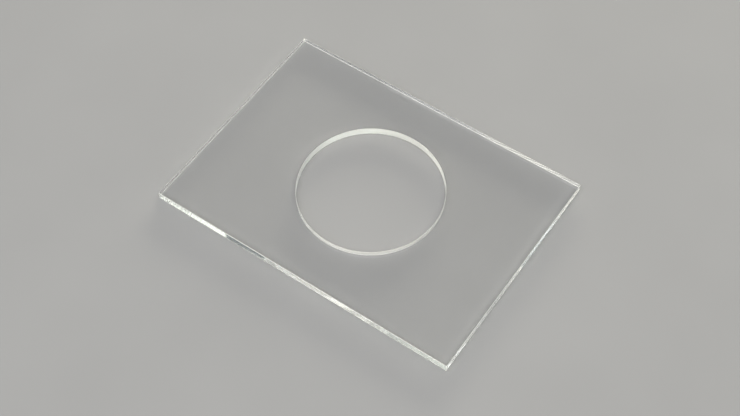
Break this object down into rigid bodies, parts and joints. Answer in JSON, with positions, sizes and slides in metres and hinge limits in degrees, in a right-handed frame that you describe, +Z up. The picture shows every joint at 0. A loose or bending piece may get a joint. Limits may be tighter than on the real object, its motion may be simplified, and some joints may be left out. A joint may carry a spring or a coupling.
{
  "type": "circle template",
  "caption": "Flat rectangular plate of clear acrylic with a large round hole that guides a pen or pencil round a circle.",
  "frame": {"origin": "middle of the rectangle, on the underside that lies on the paper", "axes": "+X along the long edges, +Y along the short edges, +Z up from the paper, along the hole's axis"},
  "size_m": [0.16, 0.115, 0.004],
  "materials": {
    "clear_acrylic": "polished"
  },
  "bodies": {
    "root": {"template_plate": "clear_acrylic"}
  },
  "joints": []
}
